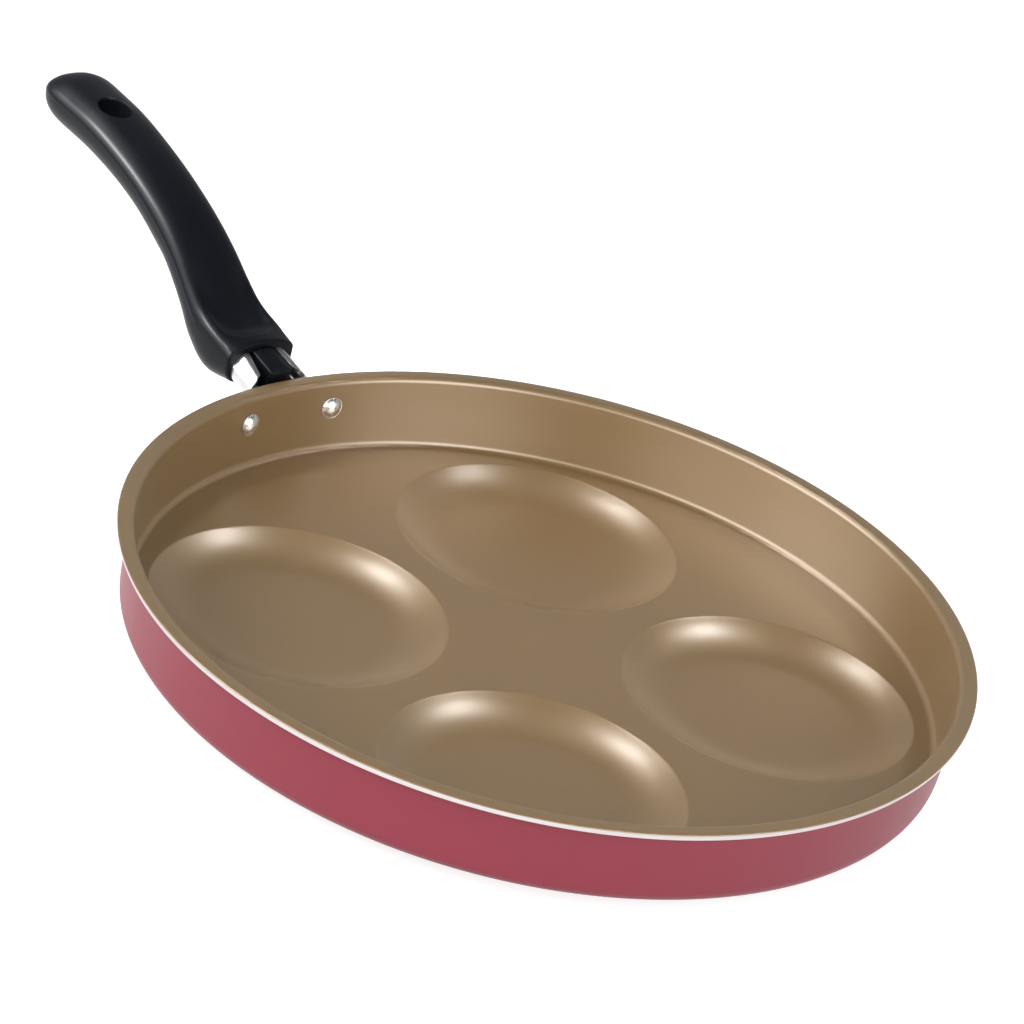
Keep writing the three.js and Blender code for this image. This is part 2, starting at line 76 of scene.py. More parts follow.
# A path with its inner corners rounded: one radius for each point, the ends are left alone
def roundedPath(points, radii, steps):
    path = [Vector(points[0])]
    for before, here, after, radius in zip(points, points[1:], points[2:], radii[1:-1]):
        here = Vector(here)
        back = (Vector(before) - here).normalized()
        on = (Vector(after) - here).normalized()
        half = back.angle(on) / 2
        centre = here + (back + on).normalized() * (radius / math.sin(half))
        first = here + back * (radius / math.tan(half)) - centre
        last = here + on * (radius / math.tan(half)) - centre
        sweep = first.angle(last)
        for k in range(steps + 1):
            share = k / steps
            mix = first * math.sin((1 - share) * sweep) + last * math.sin(share * sweep)
            path.append(centre + mix / math.sin(sweep))
    path.append(Vector(points[-1]))
    return path


def meshFrom(bm, name):
    mesh = bpy.data.meshes.new(name)
    bm.to_mesh(mesh)
    bm.free()
    return mesh


# Turns a profile of (radius, height) about Z; zones give each strip its material
def turnedMesh(name, profile, facets, zones=None):
    bm = bmesh.new()
    turn = [2 * math.pi * i / facets for i in range(facets)]
    rings = []
    for r, z in profile:
        if r < onAxis:
            rings.append([bm.verts.new((0, 0, z))] * facets)
        else:
            rings.append([bm.verts.new((r * math.cos(a), r * math.sin(a), z)) for a in turn])
    for k, (near, far) in enumerate(zip(rings, rings[1:])):
        for i in range(facets):
            j = (i + 1) % facets
            corners = [near[i], near[j], far[j], far[i]]
            corners = [v for n, v in enumerate(corners) if v not in corners[:n]]
            if len(corners) > 2:
                face = bm.faces.new(corners)
                face.material_index = zones[k] if zones else 0
    return meshFrom(bm, name)


# Closes a row of rings into a skin; the first and last rings may be left open
def skinMesh(name, rings, closeStart=False, closeEnd=False):
    bm = bmesh.new()
    rows = [[bm.verts.new(p) for p in ring] for ring in rings]
    count = len(rings[0])
    for near, far in zip(rows, rows[1:]):
        for i in range(count):
            j = (i + 1) % count
            bm.faces.new((near[i], near[j], far[j], far[i]))
    if closeStart:
        bm.faces.new(rows[0][::-1])
    if closeEnd:
        bm.faces.new(rows[-1])
    return meshFrom(bm, name)


# Faces between neighbouring columns of points
def weave(bm, columns):
    for near, far in zip(columns, columns[1:]):
        for i in range(len(near) - 1):
            bm.faces.new((near[i], near[i + 1], far[i + 1], far[i]))


# Joins meshes, welds what meets, and turns all faces outwards
def joinMeshes(name, meshes, weld=1e-3):
    bm = bmesh.new()
    for mesh in meshes:
        bm.from_mesh(mesh)
    bmesh.ops.remove_doubles(bm, verts=bm.verts, dist=weld)
    bmesh.ops.recalc_face_normals(bm, faces=bm.faces)
    return meshFrom(bm, name)


def turnedSolid(name, profile, facets):
    return joinMeshes(name, [turnedMesh("turned", profile, facets)])


def newObject(name, mesh):
    piece = bpy.data.objects.new(name, mesh)
    bpy.context.scene.collection.objects.link(piece)
    return piece


# The evaluated object as a plain mesh, with its modifiers gone
def settle(piece):
    graph = bpy.context.evaluated_depsgraph_get()
    mesh = bpy.data.meshes.new_from_object(piece.evaluated_get(graph))
    piece.modifiers.clear()
    piece.data = mesh
    return mesh


# Cuts one object out of another and removes it
def cutAway(piece, cutter):
    cut = piece.modifiers.new("cut", "BOOLEAN")
    cut.object = cutter
    cut.operation = "DIFFERENCE"
    settle(piece)
    bpy.data.objects.remove(cutter)


def softenEdges(piece, width, segments, angle):
    soften = piece.modifiers.new("edges", "BEVEL")
    soften.width = width
    soften.segments = segments
    soften.limit_method = "ANGLE"
    soften.angle_limit = math.radians(angle)
    settle(piece)


# Moves a finished mesh to the frame, smooths it, and hangs it on the one body
def finishPiece(piece, materials, nodes, sharpAngle):
    mesh = piece.data
    mesh.transform(toFrame)
    for material in materials:
        mesh.materials.append(material)
    mesh.polygons.foreach_set("use_smooth", [True] * len(mesh.polygons))
    mesh.set_sharp_from_angle(angle=math.radians(sharpAngle))
    mesh.update()
    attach(piece, "root")
    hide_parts(*nodes)
    print("piece:", piece.name, len(mesh.polygons), "faces")


# A node with its settings and inputs: a socket is linked, anything else is a value
def addNode(tree, kind, inputs=None, **settings):
    node = tree.nodes.new(kind)
    for key, value in settings.items():
        setattr(node, key, value)
    for key, value in (inputs or {}).items():
        if isinstance(value, bpy.types.NodeSocket):
            tree.links.new(value, node.inputs[key])
        else:
            node.inputs[key].default_value = value
    return node


def addMath(tree, operation, *values):
    return addNode(tree, "ShaderNodeMath", dict(enumerate(values)), operation=operation).outputs["Value"]


def addNoise(tree, vector, scale, detail, roughness=0.5):
    return addNode(tree, "ShaderNodeTexNoise", {
        "Vector": vector, "Scale": scale, "Detail": detail, "Roughness": roughness}).outputs["Fac"]


def newTree(name, kind, inputs, outputs):
    tree = bpy.data.node_groups.new(name, kind + "NodeTree")
    for side, sockets in (("INPUT", inputs), ("OUTPUT", outputs)):
        for label, socketType in sockets.items():
            tree.interface.new_socket(name=label, in_out=side, socket_type="NodeSocket" + socketType)
    return tree, tree.nodes.new("NodeGroupInput").outputs, tree.nodes.new("NodeGroupOutput").inputs


# End of a Geometry Nodes tree: real geometry with its material
def endTree(tree, shape, given, out):
    real = addNode(tree, "GeometryNodeRealizeInstances", {"Geometry": shape})
    finish = addNode(tree, "GeometryNodeSetMaterial", {
        "Geometry": real.outputs["Geometry"], "Material": given["Material"]})
    tree.links.new(finish.outputs["Geometry"], out["Geometry"])
    return tree


# Gives a piece a Geometry Nodes tree with its inputs set by identifier, and settles it
def growWith(piece, tree, values):
    modifier = piece.modifiers.new(tree.name, "NODES")
    modifier.node_group = tree
    for item in tree.interface.items_tree:
        if item.in_out == "INPUT" and item.name in values:
            modifier[item.identifier] = values[item.name]
    return settle(piece)


# Shader groups that the finishes share

def makeMottleGroup():
    tree, given, out = newTree(
        "softMottle", "Shader",
        {"Vector": "Vector", "Size": "Float", "Fineness": "Float"}, {"Mask": "Float"})
    broad = addNoise(tree, given["Vector"], given["Size"], 3.0, 0.55)
    fine = addNoise(tree, given["Vector"], given["Fineness"], 2.0)
    blend = addNode(tree, "ShaderNodeMix", {"Factor": 0.35, "A": broad, "B": fine}, data_type="FLOAT")
    tree.links.new(blend.outputs["Result"], out["Mask"])
    return tree


def makeGrainGroup():
    tree, given, out = newTree(
        "surfaceGrain", "Shader",
        {"Vector": "Vector", "Scale": "Float", "Waves": "Float", "Depth": "Float"}, {"Normal": "Vector"})
    grain = addNoise(tree, given["Vector"], given["Scale"], 4.0, 0.6)
    peel = addNoise(tree, given["Vector"], given["Waves"], 1.0)
    both = addNode(tree, "ShaderNodeMix", {"Factor": 0.5, "A": grain, "B": peel}, data_type="FLOAT")
    bump = addNode(tree, "ShaderNodeBump", {
        "Distance": 0.0002, "Strength": given["Depth"], "Height": both.outputs["Result"]})
    tree.links.new(bump.outputs["Normal"], out["Normal"])
    return tree


def makeScratchGroup():
    tree, given, out = newTree(
        "fineScratches", "Shader",
        {"Vector": "Vector", "Scale": "Float", "Threshold": "Float"}, {"Mask": "Float"})
    lines = addNoise(tree, given["Vector"], given["Scale"], 5.0, 0.7)
    patches = addNoise(tree, given["Vector"], 60.0, 1.0)
    cut = addNode(tree, "ShaderNodeMapRange", {
        "Value": lines, "From Min": given["Threshold"], "From Max": 0.8, "To Min": 0.0, "To Max": 1.0})
    tree.links.new(addMath(tree, "MULTIPLY", cut.outputs["Result"], patches), out["Mask"])
    return tree


mottleGroup = makeMottleGroup()
grainGroup = makeGrainGroup()
scratchGroup = makeScratchGroup()


# A finish: two tones mixed by a mottle, roughness between two values, fine scratches and a grain
def makeFinish(name, look):
    material = bpy.data.materials.new(name)
    material.use_nodes = True
    tree = material.node_tree
    shader = tree.nodes["Principled BSDF"]
    tone, otherTone = look["tones"]
    mottleSize, fineness = look["mottle"]
    scratchScale, threshold, dulling = look["scratches"]
    grainScale, waves, depth = look["grain"]
    place = addNode(tree, "ShaderNodeTexCoord").outputs["Object"]
    mapping = addNode(tree, "ShaderNodeMapping", {
        "Vector": place, "Scale": look.get("stretch", (1, 1, 1)),
        "Rotation": [math.radians(a) for a in look.get("turn", (0, 0, 0))]})
    stretched = mapping.outputs["Vector"]
    mottle = addNode(tree, "ShaderNodeGroup", node_tree=mottleGroup, inputs={
        "Vector": place, "Size": mottleSize, "Fineness": fineness})
    mask = mottle.outputs["Mask"]
    tones = addNode(tree, "ShaderNodeMix", data_type="RGBA", inputs={
        "Factor": mask, "A": (*tone, 1), "B": (*otherTone, 1)})
    scratch = addNode(tree, "ShaderNodeGroup", node_tree=scratchGroup, inputs={
        "Vector": stretched, "Scale": scratchScale, "Threshold": threshold})
    rough = addNode(tree, "ShaderNodeMapRange", {
        "Value": mask, "From Min": 0.3, "From Max": 0.7,
        "To Min": look["roughness"][0], "To Max": look["roughness"][1]})
    worn = addMath(tree, "MULTIPLY_ADD", scratch.outputs["Mask"], dulling, rough.outputs["Result"])
    grain = addNode(tree, "ShaderNodeGroup", node_tree=grainGroup, inputs={
        "Vector": stretched, "Scale": grainScale, "Waves": waves, "Depth": depth})
    tree.links.new(tones.outputs["Result"], shader.inputs["Base Color"])
    tree.links.new(worn, shader.inputs["Roughness"])
    tree.links.new(grain.outputs["Normal"], shader.inputs["Normal"])
    for socket, value in look["shader"].items():
        shader.inputs[socket].default_value = value
    return material


# mottle: size, fineness; scratches: scale, threshold, dulling; grain: scale, scale of its waves, depth
goldCoat = makeFinish("goldCoat", {
    "tones": ((0.207, 0.123, 0.040), (0.230, 0.139, 0.048)), "roughness": (0.40, 0.46),
    "mottle": (35, 900), "scratches": (500, 0.62, 0.03), "grain": (2600, 420, 0.05),
    "shader": {"Metallic": 0.42, "IOR": 1.5, "Coat Weight": 1.0, "Coat Roughness": 0.34, "Coat IOR": 1.95}})

bareEdge = makeFinish("bareEdge", {
    "tones": ((0.66, 0.63, 0.64), (0.73, 0.70, 0.71)), "roughness": (0.28, 0.4), "stretch": (0.15, 0.15, 1),
    "mottle": (300, 1500), "scratches": (900, 0.5, 0.1), "grain": (3000, 1500, 0.15),
    "shader": {"Metallic": 1.0}})

redEnamel = makeFinish("redEnamel", {
    "tones": ((0.199, 0.027, 0.042), (0.225, 0.032, 0.05)), "roughness": (0.36, 0.44),
    "mottle": (30, 1200), "scratches": (400, 0.64, 0.04), "grain": (1800, 380, 0.08),
    "shader": {"Metallic": 0.0, "IOR": 1.36}})

polishedSteel = makeFinish("polishedSteel", {
    "tones": ((0.62, 0.62, 0.63), (0.70, 0.70, 0.71)), "roughness": (0.26, 0.33),
    "stretch": (0.06, 1, 1), "turn": (0, 14, 0),
    "mottle": (60, 700), "scratches": (1400, 0.55, 0.12), "grain": (1500, 900, 0.05),
    "shader": {"Metallic": 1.0}})

rivetAluminium = makeFinish("rivetAluminium", {
    "tones": ((0.80, 0.79, 0.77), (0.88, 0.87, 0.86)), "roughness": (0.2, 0.32),
    "mottle": (250, 1400), "scratches": (1500, 0.52, 0.12), "grain": (2200, 700, 0.1),
    "shader": {"Metallic": 1.0}})

blackPhenolic = makeFinish("blackPhenolic", {
    "tones": ((0.0016, 0.0022, 0.0036), (0.0028, 0.0034, 0.0052)), "roughness": (0.34, 0.39),
    "mottle": (45, 1500), "scratches": (700, 0.58, 0.08), "grain": (2400, 500, 0.06),
    "shader": {"Metallic": 0.0, "IOR": 1.25}})

zincSteel = makeFinish("zincSteel", {
    "tones": ((0.55, 0.56, 0.58), (0.66, 0.66, 0.64)), "roughness": (0.26, 0.4),
    "mottle": (400, 2000), "scratches": (1600, 0.5, 0.1), "grain": (2600, 900, 0.1),
    "shader": {"Metallic": 1.0}})

turnedBrass = makeFinish("turnedBrass", {
    "tones": ((0.52, 0.36, 0.12), (0.60, 0.43, 0.17)), "roughness": (0.25, 0.38),
    "mottle": (300, 1800), "scratches": (1600, 0.5, 0.1), "grain": (2600, 900, 0.1),
    "shader": {"Metallic": 1.0}})
print("finishes made")


# Pan: a turned wall and rim, and two floors into which the cups are pressed

panSizes = {
    "rimOverhang": 3.4, "rimThickness": 2.1, "rimDraft": 0.4, "rimOuterRound": 0.3, "rimInnerRound": 1.9,
    "rimUnderRound": 0.4, "rimFillet": 0.9,
    "rimFall": (0.04, 0.06),      # how much lower the rim is just before its outer edge, and at it
    "goldOverEdge": 0.45,         # how far the coating comes down the rim's outer face
    "wallThickness": 2.0, "wallDraft": 1.1, "depth": 24.0, "baseThickness": 2.8,
    "cornerRound": 2.0, "footRound": 4.8,
    "cups": 4, "cupTurn": 47.5, "cupDepth": 6.0, "cupBlend": 31.0, "cupRadius": 45.34, "cupRing": 71.76,
    "cupEdgeRound": 1.5, "underEdgeRound": 1.2,
    "seam": 0.15,      # a flat strip at the joins of wall, floors and cups
    "floorWeld": 0.002, "wallWeld": 0.004,
    "facets": 256, "cupFacets": 128, "sharpAngle": 60,
}


def innerRadius(z):
    p = panSizes
    return rimRadius - p["rimOverhang"] - p["wallThickness"] - p["wallDraft"] * (rimHeight - z) / p["depth"]


def outerRadius(z):
    return innerRadius(z) + panSizes["wallThickness"]


def makeFloorTree():
    tree, given, out = newTree(
        "pressedCups", "Geometry",
        {"Geometry": "Geometry", "Cups": "Int", "Cup Ring": "Float", "Cup Turn": "Float",
         "Cup Opening": "Float", "Cup Facets": "Int", "Floor Radius": "Float", "Floor Facets": "Int",
         "Floor Height": "Float", "Material": "Material"},
        {"Geometry": "Geometry"})
    ring = addNode(tree, "GeometryNodeMeshCircle", {"Vertices": given["Cups"], "Radius": given["Cup Ring"]})
    turn = addNode(tree, "ShaderNodeCombineXYZ", {"Z": given["Cup Turn"]})
    places = addNode(tree, "GeometryNodeTransform", {
        "Geometry": ring.outputs["Mesh"], "Rotation": turn.outputs["Vector"]})

    def onPlaces(shape):
        copies = addNode(tree, "GeometryNodeInstanceOnPoints", {
            "Points": places.outputs["Geometry"], "Instance": shape})
        real = addNode(tree, "GeometryNodeRealizeInstances", {"Geometry": copies.outputs["Instances"]})
        return real.outputs["Geometry"]

    def joined(*shapes):
        join = addNode(tree, "GeometryNodeJoinGeometry")
        for shape in shapes:
            tree.links.new(shape, join.inputs["Geometry"])
        return join.outputs["Geometry"]

    outline = addNode(tree, "GeometryNodeCurvePrimitiveCircle", {
        "Resolution": given["Cup Facets"], "Radius": given["Cup Opening"]})
    edge = addNode(tree, "GeometryNodeCurvePrimitiveCircle", {
        "Resolution": given["Floor Facets"], "Radius": given["Floor Radius"]})
    # one dish on each place, and a hole in the floor to match
    sheet = addNode(tree, "GeometryNodeFillCurve", {
        "Curve": joined(onPlaces(outline.outputs["Curve"]), edge.outputs["Curve"])})
    weld = addNode(tree, "GeometryNodeMergeByDistance", {
        "Geometry": joined(onPlaces(given["Geometry"]), sheet.outputs["Mesh"]),
        "Distance": panSizes["floorWeld"]})
    height = addNode(tree, "ShaderNodeCombineXYZ", {"Z": given["Floor Height"]})
    lifted = addNode(tree, "GeometryNodeTransform", {
        "Geometry": weld.outputs["Geometry"], "Translation": height.outputs["Vector"]})
    return endTree(tree, lifted.outputs["Geometry"], given, out)


# Half section of a dish below a flat floor: flat bottom, blend, rounded edge, then a sliver of floor
def dishProfile(flat, blend, depth, edgeRound):
    reach = math.sqrt((blend + edgeRound) ** 2 - (blend + edgeRound - depth) ** 2)
    lean = math.degrees(math.acos(reach / (blend + edgeRound)))
    centre = (flat, blend - depth)
    edge = (flat + reach, -edgeRound)
    profile = [(0, -depth)] + [(r, -depth) for r in spread(flat / 4, flat * 3 / 4, 2)]
    profile += arc(centre, blend, -90, -lean, 22)
    profile += arc(edge, edgeRound, 180 - lean, 90, 6)[1:]
    opening = edge[0] + panSizes["seam"]
    return profile + [(opening, 0)], opening


def makePan():
    p = panSizes
    corner, foot, crest, lip = p["cornerRound"], p["footRound"], p["rimInnerRound"], p["rimOuterRound"]
    under, fillet, seam = p["rimUnderRound"], p["rimFillet"], p["seam"]
    fall, edgeFall = p["rimFall"]
    floorHeight = p["cupDepth"] + p["baseThickness"]
    floorRim = innerRadius(floorHeight + corner) - corner
    footHeight = p["cupDepth"] + foot
    footRim = outerRadius(footHeight) - foot
    rimLow = rimHeight - p["rimThickness"]
    coatEnd = rimHeight - p["goldOverEdge"]

    def edgeRadius(z):
        return rimRadius - p["rimDraft"] * (rimHeight - z) / p["rimThickness"]

    coated = [(floorRim - seam, floorHeight)]
    coated += arc((floorRim, floorHeight + corner), corner, -90, 0, 14)
    coated += [(innerRadius(z), z) for z in spread(floorHeight + corner + 1, rimHeight - crest - 2, 6)]
    coated += arc((innerRadius(rimHeight) + crest, rimHeight - crest), crest, 180, 90, 10)
    coated += [(rimRadius - lip - 1, rimHeight - fall)]
    coated += arc((rimRadius - lip, rimHeight - lip - edgeFall), lip, 86, 0, 7)
    bare = [(edgeRadius(coatEnd), coatEnd), (edgeRadius(rimLow + under), rimLow + under)]
    bare += arc((edgeRadius(rimLow) - under, rimLow + under), under, -20, -90, 3)
    red = [(outerRadius(rimLow) + fillet + 0.1, rimLow)]
    red += arc((outerRadius(rimLow) + fillet, rimLow - fillet), fillet, 90, 180, 5)
    red += [(outerRadius(z), z) for z in spread(rimLow - 3, footHeight + 1, 4)]
    red += arc((footRim, footHeight), foot, 0, -90, 14)
    red += [(footRim - seam, p["cupDepth"])]
    zones = [0] * len(coated) + [1] * len(bare) + [2] * len(red)
    meshes = [turnedMesh("wall", coated + bare + red, p["facets"], zones)]

    tree = makeFloorTree()
    flat = p["cupRadius"] - math.sqrt(p["cupBlend"] ** 2 - (p["cupBlend"] - p["cupDepth"]) ** 2)
    floors = [
        ("inside", p["cupBlend"], p["cupEdgeRound"], floorRim, floorHeight, goldCoat, 0),
        ("underside", p["cupBlend"] + p["baseThickness"], p["underEdgeRound"], footRim, p["cupDepth"],
         redEnamel, 2)]
    for name, blend, edgeRound, radius, height, material, zone in floors:
        profile, opening = dishProfile(flat, blend, p["cupDepth"], edgeRound)
        dish = newObject(name, turnedMesh(name, profile, p["cupFacets"]))
        mesh = growWith(dish, tree, {
            "Cups": p["cups"], "Cup Ring": p["cupRing"], "Cup Turn": math.radians(p["cupTurn"]),
            "Cup Opening": opening, "Cup Facets": p["cupFacets"], "Floor Radius": radius - seam,
            "Floor Facets": p["facets"], "Floor Height": height, "Material": material})
        mesh.polygons.foreach_set("material_index", [zone] * len(mesh.polygons))
        meshes.append(mesh)
        bpy.data.objects.remove(dish)
    pan = newObject("panBody", joinMeshes("panBody", meshes, p["wallWeld"]))
    finishPiece(pan, [goldCoat, bareEdge, redEnamel], ["pan_body"], p["sharpAngle"])


makePan()


# Rivets: domed heads inside the wall, upset tails outside

rivetSizes = {
    "count": 2, "spread": 15.48, "drop": 9.1, "shank": 2.4, "stack": 4.1, "clearance": 0.15,
    "head": 3.7, "headHeight": 2.1, "domeEnd": 4, "lipOver": 0.02, "lipHeight": 0.3, "lipUnder": 0.1,
    "tail": 3.5, "tailHeight": 1.4, "tailRound": 0.7,
    "dimple": (1.2, 0.15, 0.25),      # in the tail: radius, depth at its edge and in its middle
    "facets": 48, "sharpAngle": 50,
}


def makeRivetTree():
    tree, given, out = newTree(
        "rivetRow", "Geometry",
        {"Geometry": "Geometry", "Count": "Int", "Spread": "Float", "Radius": "Float", "Height": "Float",
         "Tilt": "Float", "Material": "Material"},
        {"Geometry": "Geometry"})
    row = addNode(tree, "GeometryNodeMeshLine", {"Count": given["Count"]})
    index = addNode(tree, "GeometryNodeInputIndex").outputs["Index"]
    share = addMath(tree, "DIVIDE", index, addMath(tree, "SUBTRACT", given["Count"], 1))
    angle = addMath(tree, "MULTIPLY", addMath(tree, "SUBTRACT", share, 0.5), given["Spread"])
    place = addNode(tree, "ShaderNodeCombineXYZ", {
        "X": addMath(tree, "MULTIPLY", addMath(tree, "COSINE", angle), given["Radius"]),
        "Y": addMath(tree, "MULTIPLY", addMath(tree, "SINE", angle), given["Radius"]),
        "Z": given["Height"]})
    moved = addNode(tree, "GeometryNodeSetPosition", {
        "Geometry": row.outputs["Mesh"], "Position": place.outputs["Vector"]})
    facing = addNode(tree, "ShaderNodeCombineXYZ", {"Y": given["Tilt"], "Z": angle})
    copies = addNode(tree, "GeometryNodeInstanceOnPoints", {
        "Points": moved.outputs["Geometry"], "Instance": given["Geometry"],
        "Rotation": facing.outputs["Vector"]})
    return endTree(tree, copies.outputs["Instances"], given, out)


def makeRivets():
    r = rivetSizes
    gap, head, shank, tail, bend = r["clearance"], r["head"], r["shank"], r["tail"], r["tailRound"]
    ball = (head ** 2 + r["headHeight"] ** 2) / (2 * r["headHeight"])
    lean = math.degrees(math.acos(head / ball))
    top = r["stack"] + r["tailHeight"]
    dimple, edgeDepth, middleDepth = r["dimple"]
    profile = arc((0, ball - r["headHeight"] - gap), ball, -90, -lean - r["domeEnd"], 14)
    # a worn lip under the dome, then the shank and the tail
    profile += [(head + r["lipOver"], -gap - r["lipHeight"]), (head - r["lipUnder"], -gap)]
    profile += [(shank, -gap), (shank, r["stack"]), (tail, r["stack"])]
    profile += arc((tail - bend, top - bend), bend, 0, 90, 6)
    profile += [(dimple, top - edgeDepth), (0, top - middleDepth)]
    height = rimHeight - r["drop"]
    rivets = newObject("rivets", turnedMesh("rivets", profile, r["facets"]))
    mesh = growWith(rivets, makeRivetTree(), {
        "Count": r["count"], "Spread": math.radians(r["spread"]), "Radius": innerRadius(height),
        "Height": height, "Tilt": math.radians(90) + math.atan(panSizes["wallDraft"] / panSizes["depth"]),
        "Material": rivetAluminium})
    rivets.data = joinMeshes("rivets", [mesh])
    finishPiece(rivets, [rivetAluminium], ["rivet_left", "rivet_right"], r["sharpAngle"])


makeRivets()


# Neck of the handle: its own frame runs along the channel from the mouth of the grip

neckSizes = {
    "length": 13.0, "rise": 0.3, "angle": 14.0, "sheet": 1.5, "width": 23.2, "sideHeight": 5.6,
    "floorBend": 3.0, "shoulderBend": 1.6, "lipRise": 3.5, "knee": 7.8, "kneeBend": 2.2, "lipCurl": 0.25,
    "slot": 10.8, "slotFlare": 0.22, "lipSetback": 1.2, "lipSlant": 2.6, "slantFade": 12.0, "lipRound": 1.2,
    "socketDepth": 22.0, "flare": 2.4, "flareBite": 0.08, "flarePull": 4,
    "saddleWidth": 47.0, "saddleHeight": 13.0, "saddleCorner": 4.0, "saddleDrop": 4.2,
    "saddleRings": (1.0, 0.97, 0.9, 0.75, 0.55, 0.3),
    "clearance": 0.3, "rimRoom": 20.0, "cutRound": 0.4, "cutSegments": 3, "cutAngle": 55, "sharpAngle": 35,
    "channelStep": 0.8, "saddleStep": 1.5, "rows": 30,
}
mouthPlace = Vector((rimRadius + neckSizes["length"], 0, rimHeight + neckSizes["rise"]))
neckTilt = math.radians(neckSizes["angle"])
neckFrame = Matrix.Translation(mouthPlace) @ Matrix.Rotation(-neckTilt, 4, "Y")
neckTurn = neckFrame.to_3x3()
neckHeight = neckSizes["sideHeight"] + neckSizes["lipRise"]
channelFloor = -neckHeight / 2 + neckSizes["sheet"] + neckSizes["clearance"]


# Outline of the channel from one lip over its floor to the other, and where its side walls begin
def neckSection(grow=0.0, steps=6):
    n = neckSizes
    half, top = n["width"] / 2 + grow, neckHeight / 2 + grow
    shoulder = n["sideHeight"] - neckHeight / 2 + grow * 0.45      # the slanted lip moves out with less
    knee, edge = n["knee"] + grow * 0.4, n["slot"] / 2
    right = [(edge, top - n["lipCurl"]), (knee, top), (half, shoulder), (half, -top)]
    bends = [0, n["kneeBend"], n["shoulderBend"], n["floorBend"] + grow]
    path = roundedPath(right + [(-x, y) for x, y in right[::-1]], bends + bends[::-1], steps)
    return path, 2 * (steps + 1)


def onNeck(along, point):
    return neckFrame @ Vector((along, point.x, point.y))


# Distance of the saddle's outer face from the pan's axis
def saddleReach(z):
    return outerRadius(z) + neckSizes["clearance"] + neckSizes["sheet"]


# Channel as a sheet: its floor and side walls flare into the saddle, its lips end before the rim
def makeChannel():
    n = neckSizes
    section, shoulderAt = neckSection()
    path, sides = [], []
    for k, (a, b) in enumerate(zip(section, section[1:])):
        cuts = max(1, round((b - a).length / n["channelStep"]))
        if k in (shoulderAt, len(section) - 1 - shoulderAt):
            sides.append(len(path))
        path += [a.lerp(b, i / cuts) for i in range(cuts)]
    path.append(section[-1])
    first, last = sides
    normals = []
    for before, after in zip(path[:1] + path, path[1:] + path[-1:]):
        along = after - before
        normals.append(Vector((-along.y, along.x)).normalized())
    lipEnd = n["lipSetback"] - n["length"]
    rows = spread(lipEnd, n["socketDepth"], n["rows"])
    away = neckTurn @ Vector((1, 0, 0))

    # where a line of the channel meets the saddle, found in small steps
    def meets(point):
        along = lipEnd
        for step in range(12):
            p = onNeck(along, point)
            along += saddleReach(p.z) - math.hypot(p.x, p.y)
        return along

    bm = bmesh.new()
    trough = []
    for k in range(first, last + 1):
        hit = meets(path[k])
        out = neckTurn @ Vector((0, normals[k].x, normals[k].y))
        foot = onNeck(hit, path[k])
        column = []
        for a in spread(90, 0, 6):
            s, c = sineCosine(a)
            p = foot + away * n["flare"] * (1 - s) + out * n["flare"] * (1 - c)
            deepest = saddleReach(p.z) - n["flareBite"]
            pull = s ** n["flarePull"] * (deepest / math.hypot(p.x, p.y) - 1)
            column.append(Vector((p.x * (1 + pull), p.y * (1 + pull), p.z)))
        column += [onNeck(t, path[k]) for t in spread(hit + n["flare"], lipEnd, 6)[1:-1]]
        column += [onNeck(t, path[k]) for t in rows]
        trough.append([bm.verts.new(p) for p in column])
    weave(bm, trough)
    for lip, joint in ((range(first, -1, -1), trough[0]), (range(last, len(path)), trough[-1])):
        root, edge = path[lip[0]], path[lip[-1]]
        columns = [joint[-len(rows):]]
        for k in lip[1:]:
            inset = (path[k] - edge).length
            left = max(0.0, n["lipRound"] - inset)
            back = n["lipRound"] - math.sqrt(max(0.0, n["lipRound"] ** 2 - left ** 2))
            back += n["lipSlant"] * (1 - inset / (edge - root).length)
            column = []
            for t in rows:
                ease = max(0.0, 1 - (t - lipEnd) / n["slantFade"])
                opened = path[k].lerp(root, n["slotFlare"] * max(0.0, -t) / n["length"])
                column.append(bm.verts.new(onNeck(t + back * ease, opened)))
            columns.append(column)
        weave(bm, columns)
    bmesh.ops.recalc_face_normals(bm, faces=bm.faces)
    bm.normal_update()
    if trough[len(trough) // 2][-2].link_faces[0].normal.z > 0:
        bmesh.ops.reverse_faces(bm, faces=bm.faces)
    return meshFrom(bm, "channel")


# Saddle plate as a sheet: rings of a rounded rectangle laid on the wall
def makeSaddle():
    n = neckSizes
    w, h, r = n["saddleWidth"] / 2, n["saddleHeight"] / 2, n["saddleCorner"]
    middle = rimHeight - n["saddleDrop"] - h
    border = []
    for x, y, turn in ((w - r, h - r, 0), (r - w, h - r, 90), (r - w, r - h, 180), (w - r, r - h, 270)):
        border += arc((x, y), r, turn, turn + 90, 6)
    dense = []
    for a, b in zip(border, border[1:] + border[:1]):
        cuts = max(1, round(math.dist(a, b) / n["saddleStep"]))
        dense += [(a[0] + (b[0] - a[0]) * i / cuts, a[1] + (b[1] - a[1]) * i / cuts) for i in range(cuts)]
    rings = []
    for share in n["saddleRings"]:
        ring = []
        for y, z in dense:
            reach = saddleReach(middle + z * share)
            ring.append((math.sqrt(reach ** 2 - (y * share) ** 2), y * share, middle + z * share))
        rings.append(ring)
    return skinMesh("saddle", rings, closeEnd=True)


